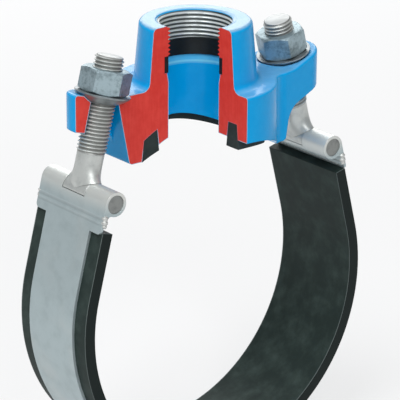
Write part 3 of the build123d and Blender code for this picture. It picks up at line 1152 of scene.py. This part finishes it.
# ------------------------------------------------------------------ T-bolts
@dataclass
class ThreadedStud:
    """Stud with a rolled thread, a plain shank and a foot that flares on to the strap's eye."""

    hand: Hand
    thread_r: float = 8.0
    pitch: float = 2.0
    depth: float = 1.08
    crest_flat: float = 0.125
    root_flat: float = 0.2
    length: float = 73.0
    thread_from: float = 21.0
    run_in: float = 0.4
    run_in_turns: float = 0.8
    thread_lead: float = 1.0
    shank_r: float = 7.35
    shank_gaps: tuple[float, float] = (0.4, 1.4)
    chamfer: float = 1.2
    seat_r: float = 6.82
    foot_top: float = 16.5
    foot_spread: float = 4.4
    foot_waist: float = 0.9
    foot_curl: float = 2.8
    level_rate: float = 1.15
    neck_half: float = 9.3
    neck_drop: float = 0.6
    sole_r: float = 5.4
    sole_shares: tuple[float, ...] = (0.06, 0.25, 0.45, 0.62, 0.76, 0.87, 0.95)
    yoke_r: tuple[float, float] = (5.04, 6.62)
    yoke_half_w: float = 9.62
    yoke_ease: float = 0.25
    yoke_ease_share: float = 0.05
    yoke_past_deg: float = 5.0
    yoke_grid: tuple[int, int] = (60, 41)
    yoke_crease_deg: float = 40.0
    steps_per_pitch: int = 14
    columns: int = 80
    shank_rows: int = 6
    foot_rows: int = 26
    foot_crowding: float = 1.3
    crease_deg: float = 50.0

    def screw_radius(self, angle: np.ndarray, s: np.ndarray) -> np.ndarray:
        """Work out the radius of shank and thread.

        It is the crest's radius less the depth of a right-hand V cut, whose phase is s over the pitch less
        the angle in turns. The thread grows out of the plain shank and ends in a chamfer.

        Args:
            angle: angles about the stud from its outward side.
            s: heights over the pin.

        Returns:
            The radii.
        """
        into = smooth_step((s - self.thread_from + self.run_in) / (self.run_in_turns * self.pitch))
        crest = self.shank_r + (self.thread_r - self.shank_r) * into
        phase = s / self.pitch - angle / TURN
        cut = self.depth * thread_cut(phase, self.crest_flat, self.root_flat) * into
        tip = np.clip(self.length - s, 0.0, self.chamfer) - self.chamfer
        return np.minimum(crest - cut, self.thread_r + tip)

    def screw(self) -> np.ndarray:
        """Turn the shank, with few rows, and the thread, with many from thread_lead below it.

        Returns:
            Rows of points in bolt axes.
        """
        start = self.thread_from - self.thread_lead
        rows = int((self.length - start) / self.pitch * self.steps_per_pitch)
        over_foot, under_thread = self.shank_gaps
        plain = np.linspace(self.foot_top + over_foot, self.thread_from - under_thread, self.shank_rows)
        heights = np.concatenate([plain, np.linspace(start, self.length, rows)])
        s, angle = np.meshgrid(heights, self.angles(), indexing="ij")
        r = self.screw_radius(angle, s)
        return np.stack([r * np.cos(angle), r * np.sin(angle), s], axis=-1)

    def foot(self) -> np.ndarray:
        """Shape the foot on the strap's eye.

        Each row is an ellipse. Its half width along the pin grows by foot_spread towards the eye, and
        across it shrinks by foot_waist. A row sinks by what the eye's roundness of radius seat_r drops at its
        distance from the pin's plane, fully at the eye and not at all at foot_top. Rows crowd at the eye.

        Returns:
            Rows of points in bolt axes, with two for the neck in the eye's window first.
        """
        high = np.linspace(0.0, 1.0, self.foot_rows) ** self.foot_crowding
        along = np.concatenate([[self.neck_half, self.neck_half], self.flare(high)])
        neck = [self.seat_r - self.neck_drop, self.seat_r]
        s = np.concatenate([neck, self.seat_r + high * (self.foot_top - self.seat_r)])
        share, angle = np.meshgrid(np.concatenate([[0.0, 0.0], high]), self.angles(), indexing="ij")
        half_along = np.repeat(along[:, None], self.columns, axis=1)
        half_across = self.shank_r - self.foot_waist * (1.0 - share) ** 2
        r = 1.0 / np.sqrt((np.cos(angle) / half_across) ** 2 + (np.sin(angle) / half_along) ** 2)
        x, y = r * np.cos(angle), r * np.sin(angle)
        drop = self.seat_r - np.sqrt(np.clip(self.seat_r**2 - x**2, 0.0, None))
        height = s[:, None] - drop * (1.0 - smooth_step(share * self.level_rate))
        return np.stack([x, y, height], axis=-1)

    def flare(self, share: np.ndarray) -> np.ndarray:
        """Half width along the pin, from the eye at 0 to the plain shank at 1."""
        return self.shank_r + self.foot_spread * (1.0 - share) ** self.foot_curl

    def sole(self, rim: np.ndarray) -> np.ndarray:
        """Close the foot underneath, on a cylinder of radius sole_r about the pin.

        Args:
            rim: the foot's lowest row, which is drawn in row by row.

        Returns:
            Rows of points in bolt axes, from the middle out.
        """
        shrink = np.array(self.sole_shares)[:, None]
        x, y = shrink * rim[:, 0], shrink * rim[:, 1]
        return np.stack([x, y, np.sqrt(np.clip(self.sole_r**2 - x**2, 0.0, None))], axis=-1)

    def angles(self) -> np.ndarray:
        """Angles round the stud."""
        return np.arange(self.columns) / self.columns * TURN

    def build(self) -> None:
        """Make the stud from its sole, foot and screw in one skin, and the yoke."""
        axes = BoltAxes.read(self.hand)
        foot = self.foot()
        grid = axes.to_frame(np.concatenate([self.sole(foot[0]), foot, self.screw()]))
        finish = StudSteel(axes, self.hand.word + "_stud_steel").material()
        word = self.hand.word
        piece = closed_turning(grid).outward().piece(word + "_threaded_stud", [finish], self.crease_deg)
        stand_for(piece, word + "_stud", word + "_bolt")
        self.yoke(axes, finish)

    def yoke(self, axes: BoltAxes, finish: bpy.types.Material) -> None:
        """Fill the eye's window with the bolt's half-round yoke.

        It is a plate bent about the pin: from just clear of the pin to just under the eye's outside, over a
        little more than half a turn, with its edges eased.

        Args:
            axes: axes of the bolt.
            finish: the stud's material.
        """
        rows, columns = self.yoke_grid
        bend = np.radians(np.linspace(-self.yoke_past_deg, 180.0 + self.yoke_past_deg, rows))
        turn, along = np.meshgrid(bend, np.linspace(-1.0, 1.0, columns), indexing="ij")
        inner_r, outer_r = self.yoke_r
        inside = np.clip((1.0 - np.abs(along)) / self.yoke_ease_share, 0.0, 1.0)
        eased = self.yoke_ease * (1.0 - inside) ** 2
        outer, inner = (
            np.stack([r * np.cos(turn), along * self.yoke_half_w, r * np.sin(turn)], axis=-1)
            for r in (outer_r - eased, inner_r)
        )
        shell = plate_between(axes.to_frame(outer), axes.to_frame(inner))
        shell.paints = None
        word = self.hand.word
        piece = shell.piece(word + "_bolt_yoke", [finish], self.yoke_crease_deg)
        add_to(piece, word + "_bolt")


@dataclass
class BoltHardware:
    """Nut, spherical washer and cross bar of one T-bolt."""

    hand: Hand
    zinc: ZincPlate = ZincPlate()
    washer: SatinSteel = SatinSteel(
        "washer_steel", (0.30, 0.33, 0.34), (0.20, 0.23, 0.24),
        rough=0.34, metallic=0.85, mottle_mm=4.0, edge_mm=0.3,
    )
    bar: SatinSteel = SatinSteel(
        "bar_steel", (0.30, 0.31, 0.30), (0.20, 0.21, 0.21),
        rough=0.5, metallic=0.8, mottle_mm=3.0, edge_mm=0.3,
    )

    def build(self) -> None:
        """Copy the three, finish them and put them on their bodies."""
        word = self.hand.word
        for part, name, body, slot, finish in (
            ("_nut", "_hexagon_nut", "_nut_body", "nut_steel", self.zinc),
            ("_washer", "_spherical_washer", "_washer_body", "nut_steel", self.washer),
            ("_cross_bar", "_bolt_bar", "_bolt", "bolt_steel", self.bar),
        ):
            dressed_copy(word + part, word + name, finish.material(), word + body)


# ------------------------------------------------------------------ strap
@dataclass
class WeldBead:
    """Lumpy bead of weld along a straight run in a bolt's axes."""

    name: str
    start: tuple[float, float, float]
    end: tuple[float, float, float]
    radius: float
    ripple_mm: float = 1.1
    ripple: float = 0.07
    wander: float = 0.16
    wander_rate: float = 2.3
    wander_phase: float = 1.0
    tip_share: float = 0.004
    skew: tuple[float, float, float] = (0.31, 0.21, 0.93)
    rows_per_ripple: int = 8
    least_rows: int = 12
    columns: int = 12
    crease_deg: float = 60.0

    def build(self, axes: BoltAxes, material: bpy.types.Material) -> bpy.types.Object:
        """Make the bead: a tube whose radius swells with each ripple and falls to nothing at its ends.

        The ends are half round. Between them the radius is multiplied by 1 plus a small sine of the
        ripples and a larger slow one. Skew is any direction that no bead runs in, to start the rings from.

        Args:
            axes: axes of the bolt beside it.
            material: its material.

        Returns:
            The bead.
        """
        start, end = np.array(self.start), np.array(self.end)
        length = float(np.linalg.norm(end - start))
        rows = max(self.least_rows, int(length / self.ripple_mm * self.rows_per_ripple))
        share = np.linspace(self.tip_share, 1.0 - self.tip_share, rows)
        direction = (end - start) / length
        side = np.cross(direction, self.skew)
        side /= np.linalg.norm(side)
        other = np.cross(direction, side)
        run = share * length
        taper = np.clip(np.minimum(run, length - run) / self.radius, 0.0, 1.0)
        swell = np.sqrt(1.0 - (1.0 - taper) ** 2)
        waves = self.ripple * np.sin(run / self.ripple_mm * TURN)
        waves += self.wander * np.sin(run * self.wander_rate + self.wander_phase)
        swell *= 1.0 + waves
        angle = np.arange(self.columns) / self.columns * TURN
        ring = np.cos(angle)[:, None] * side + np.sin(angle)[:, None] * other
        local = start + run[:, None, None] * direction + (self.radius * swell)[:, None, None] * ring[None]
        shell = closed_turning(axes.to_frame(local))
        return shell.piece(self.name, [material], self.crease_deg)


@dataclass
class StrapBand:
    """Stainless strap with its rolled eyes, and the welds that hold their tails."""

    body: str = "stirrup"
    head_half_w: float = 28.5
    tail_end: float = 13.2
    sheet_t: float = 1.6
    eye_in_r: float = 5.06
    tail_weld_r: float = 0.8
    tail_weld_in: float = 1.0
    side_weld_r: float = 1.6
    side_weld_in: float = 0.2
    side_weld_lean: float = 0.3
    side_weld_foot: float = 0.2
    side_weld_top: float = 6.2
    weld: SatinSteel = SatinSteel(
        "weld_steel", (0.60, 0.61, 0.59), (0.44, 0.45, 0.44),
        rough=0.42, metallic=0.6, mottle_mm=2.0, edge_mm=0.1,
    )

    def build(self) -> None:
        """Copy the strap and lay a bead at the tail's end and at its two sides."""
        sheet = PickledSheet(BoltAxes.read(Hand.RIGHT)).material()
        dressed_copy("strap", "lined_strap", sheet, self.body)
        bead = self.weld.material()
        wall, side = self.eye_in_r - self.sheet_t / 2, self.head_half_w - self.side_weld_in
        inner, outer = self.eye_in_r - self.side_weld_lean, self.eye_in_r + self.side_weld_lean
        foot, low, high = -self.tail_end, -self.tail_end + self.side_weld_foot, -self.side_weld_top
        end = side - self.tail_weld_in
        runs = {
            "tail": ((wall, -end, foot), (wall, end, foot), self.tail_weld_r),
            "near": ((inner, -side, low), (outer, -side, high), self.side_weld_r),
            "far": ((inner, side, low), (outer, side, high), self.side_weld_r),
        }
        for hand in Hand:
            axes = BoltAxes.read(hand)
            for word, (first, last, radius) in runs.items():
                weld = WeldBead(f"{hand.word}_{word}_weld", first, last, radius)
                add_to(weld.build(axes, bead), self.body)


@dataclass
class StrapLining:
    """Rubber lining inside the strap."""

    body: str = "stirrup"

    def build(self) -> None:
        """Copy the lining; its long outer corners carry a pale painted highlight and its cut sides a painted
        shadow.
        """
        finish = Rubber(
            "lining_rubber",
            colour=(0.018, 0.030, 0.027),
            bloom=(0.050, 0.074, 0.066),
            rough=0.5,
            edge_mm=0.5,
            corner_y_mm=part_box("strap_lining")[1].y / MM,
        )
        dressed_copy("strap_lining", "rubber_lining", finish.material(), self.body)


# ------------------------------------------------------------------ studio
@dataclass(frozen=True)
class Softbox:
    """One square area lamp, given by the direction it stands in: degrees, metres and watts."""

    name: str
    azimuth: float
    elevation: float
    distance: float
    size: float
    power: float
    colour: Colour = (1.0, 1.0, 1.0)

    def build(self, target: Vector) -> None:
        """Add the lamp.

        Args:
            target: the point that it stands round and is turned towards.
        """
        light = bpy.data.lights.new(self.name, "AREA")
        light.shape = "SQUARE"
        light.size = self.size
        light.energy = self.power
        light.color = self.colour
        lamp = bpy.data.objects.new(self.name, light)
        a, e = math.radians(self.azimuth), math.radians(self.elevation)
        away = Vector((math.sin(a) * math.cos(e), -math.cos(a) * math.cos(e), math.sin(e)))
        lamp.location = target + self.distance * away
        lamp.rotation_euler = away.to_track_quat("Z", "Y").to_euler()
        bpy.context.scene.collection.objects.link(lamp)


@dataclass
class Studio:
    """Pale floor, soft light and the camera. Azimuth 0 looks from -Y, and negative turns towards -X."""

    azimuth: float = -39.07
    elevation: float = 19.92
    roll: float = 0.39
    distance: float = 1.3618
    target: tuple[float, float, float] = (0.00165, -0.00263, 0.05143)
    lens: float = 224.0
    sensor: float = 36.0
    far: float = 60.0
    floor_half: float = 9.0
    floor_gap: float = 0.2
    world: float = 0.36
    world_colour: Colour = (0.94, 0.97, 1.0)
    lamps: tuple[Softbox, ...] = (
        Softbox("key_softbox", azimuth=-70.0, elevation=62.0, distance=1.6, size=0.8, power=14.0),
        Softbox("fill_softbox", azimuth=-25.0, elevation=32.0, distance=1.8, size=0.7, power=10.0),
        Softbox("back_softbox", azimuth=145.0, elevation=28.0, distance=1.7, size=1.2, power=13.0),
    )

    def build(self) -> None:
        """Set the view transform and add the world, floor, lamps and camera."""
        bpy.context.scene.view_settings.view_transform = "Standard"
        self.light_world()
        self.lay_floor()
        target = Vector(self.target)
        for lamp in self.lamps:
            lamp.build(target)
        self.set_camera()

    def light_world(self) -> None:
        """Pale, even world."""
        world = bpy.data.worlds.new("studio_world")
        bpy.context.scene.world = world
        world.use_nodes = True
        background = world.node_tree.nodes["Background"]
        background.inputs["Color"].default_value = solid(self.world_colour)
        background.inputs["Strength"].default_value = self.world

    def lay_floor(self) -> None:
        """Lay the floor under the strap's lowest point."""
        z = CAD_BOX[0][2] - self.floor_gap * MM
        h = self.floor_half
        points = np.array([[-h, -h, z], [h, -h, z], [h, h, z], [-h, h, z]])
        floor = Shell(points, [[0, 1, 2, 3]]).piece("studio_floor", [StudioWhite().material()])

    def set_camera(self) -> None:
        """Add the camera: back is its own Z axis, right its X, both turned by the small roll."""
        a, e, r = (math.radians(v) for v in (self.azimuth, self.elevation, self.roll))
        back = Vector((math.sin(a) * math.cos(e), -math.cos(a) * math.cos(e), math.sin(e)))
        level = Vector((math.cos(a), math.sin(a), 0.0))
        upright = back.cross(level)
        right = math.cos(r) * level + math.sin(r) * upright
        above = -math.sin(r) * level + math.cos(r) * upright
        turn = Matrix((right, above, back)).transposed()
        data = bpy.data.cameras.new("camera")
        data.lens = self.lens
        data.sensor_width = self.sensor
        data.clip_end = self.far
        camera = bpy.data.objects.new("camera", data)
        camera.matrix_world = Matrix.Translation(Vector(self.target) + self.distance * back) @ turn.to_4x4()
        bpy.context.scene.collection.objects.link(camera)
        bpy.context.scene.camera = camera


def main() -> None:
    """Build the looks, assembly by assembly."""
    logging.basicConfig(level=logging.INFO, format="%(name)s: %(message)s")
    SaddleCasting().build()
    OutletThread().build()
    Seals().build()
    StrapBand().build()
    StrapLining().build()
    for hand in Hand:
        ThreadedStud(hand).build()
        BoltHardware(hand).build()
    Studio().build()


if __name__ == "__main__":
    main()
